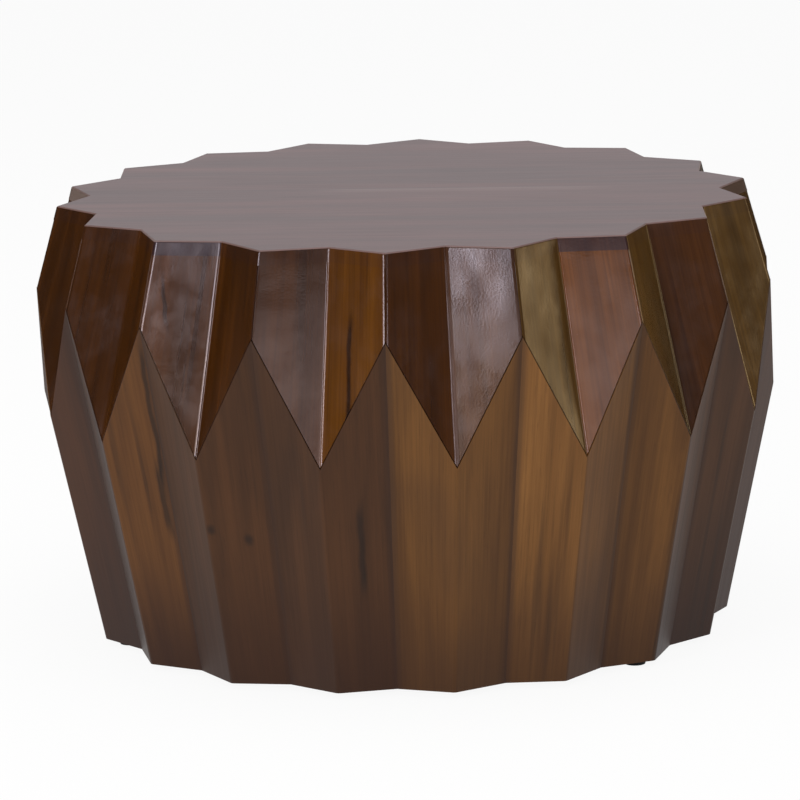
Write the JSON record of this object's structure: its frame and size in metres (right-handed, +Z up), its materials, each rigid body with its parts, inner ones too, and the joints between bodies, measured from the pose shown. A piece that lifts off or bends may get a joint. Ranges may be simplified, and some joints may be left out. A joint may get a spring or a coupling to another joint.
{
  "type": "drum table",
  "caption": "Low round pleated drum table of hardwood: glossy dark pointed teeth let into satin staves, under a flat star-edged plank top on small rubber feet.",
  "frame": {"origin": "on the floor under the drum's centre", "axes": "+Z up; the front is -Y, with a ridge of the pleated wall on it; the top's grain runs along X"},
  "size_m": [0.7596, 0.762, 0.451],
  "materials": {
    "lacquered_tooth_wood": "gloss lacquer",
    "satin_stave_wood": "satin stain",
    "top_wood": "satin lacquer",
    "bare_wood": "sawn, unfinished",
    "screw_steel": "zinc plated",
    "foot_rubber": "matte black"
  },
  "bodies": {
    "root": {"tooth_01": "lacquered_tooth_wood", "tooth_02": "lacquered_tooth_wood", "tooth_03": "lacquered_tooth_wood", "tooth_04": "lacquered_tooth_wood", "tooth_05": "lacquered_tooth_wood", "tooth_06": "lacquered_tooth_wood", "tooth_07": "lacquered_tooth_wood", "tooth_08": "lacquered_tooth_wood", "tooth_09": "lacquered_tooth_wood", "tooth_10": "lacquered_tooth_wood", "tooth_11": "lacquered_tooth_wood", "tooth_12": "lacquered_tooth_wood", "tooth_13": "lacquered_tooth_wood", "tooth_14": "lacquered_tooth_wood", "tooth_15": "lacquered_tooth_wood", "tooth_16": "lacquered_tooth_wood", "tooth_17": "lacquered_tooth_wood", "tooth_18": "lacquered_tooth_wood", "stave_01": "satin_stave_wood", "stave_02": "satin_stave_wood", "stave_03": "satin_stave_wood", "stave_04": "satin_stave_wood", "stave_05": "satin_stave_wood", "stave_06": "satin_stave_wood", "stave_07": "satin_stave_wood", "stave_08": "satin_stave_wood", "stave_09": "satin_stave_wood", "stave_10": "satin_stave_wood", "stave_11": "satin_stave_wood", "stave_12": "satin_stave_wood", "stave_13": "satin_stave_wood", "stave_14": "satin_stave_wood", "stave_15": "satin_stave_wood", "stave_16": "satin_stave_wood", "stave_17": "satin_stave_wood", "stave_18": "satin_stave_wood", "top_plank_1": "top_wood", "top_plank_2": "top_wood", "top_plank_3": "top_wood", "top_plank_4": "top_wood", "top_plank_5": "top_wood", "top_plank_6": "top_wood", "top_batten_left": "bare_wood", "top_batten_right": "bare_wood", "glue_blocks": "bare_wood", "hoop_segment_1": "bare_wood", "hoop_segment_2": "bare_wood", "hoop_segment_3": "bare_wood", "hoop_segment_4": "bare_wood", "hoop_segment_5": "bare_wood", "hoop_segment_6": "bare_wood", "batten_screws": "screw_steel", "foot_1": "foot_rubber", "foot_2": "foot_rubber", "foot_3": "foot_rubber"}
  },
  "joints": []
}
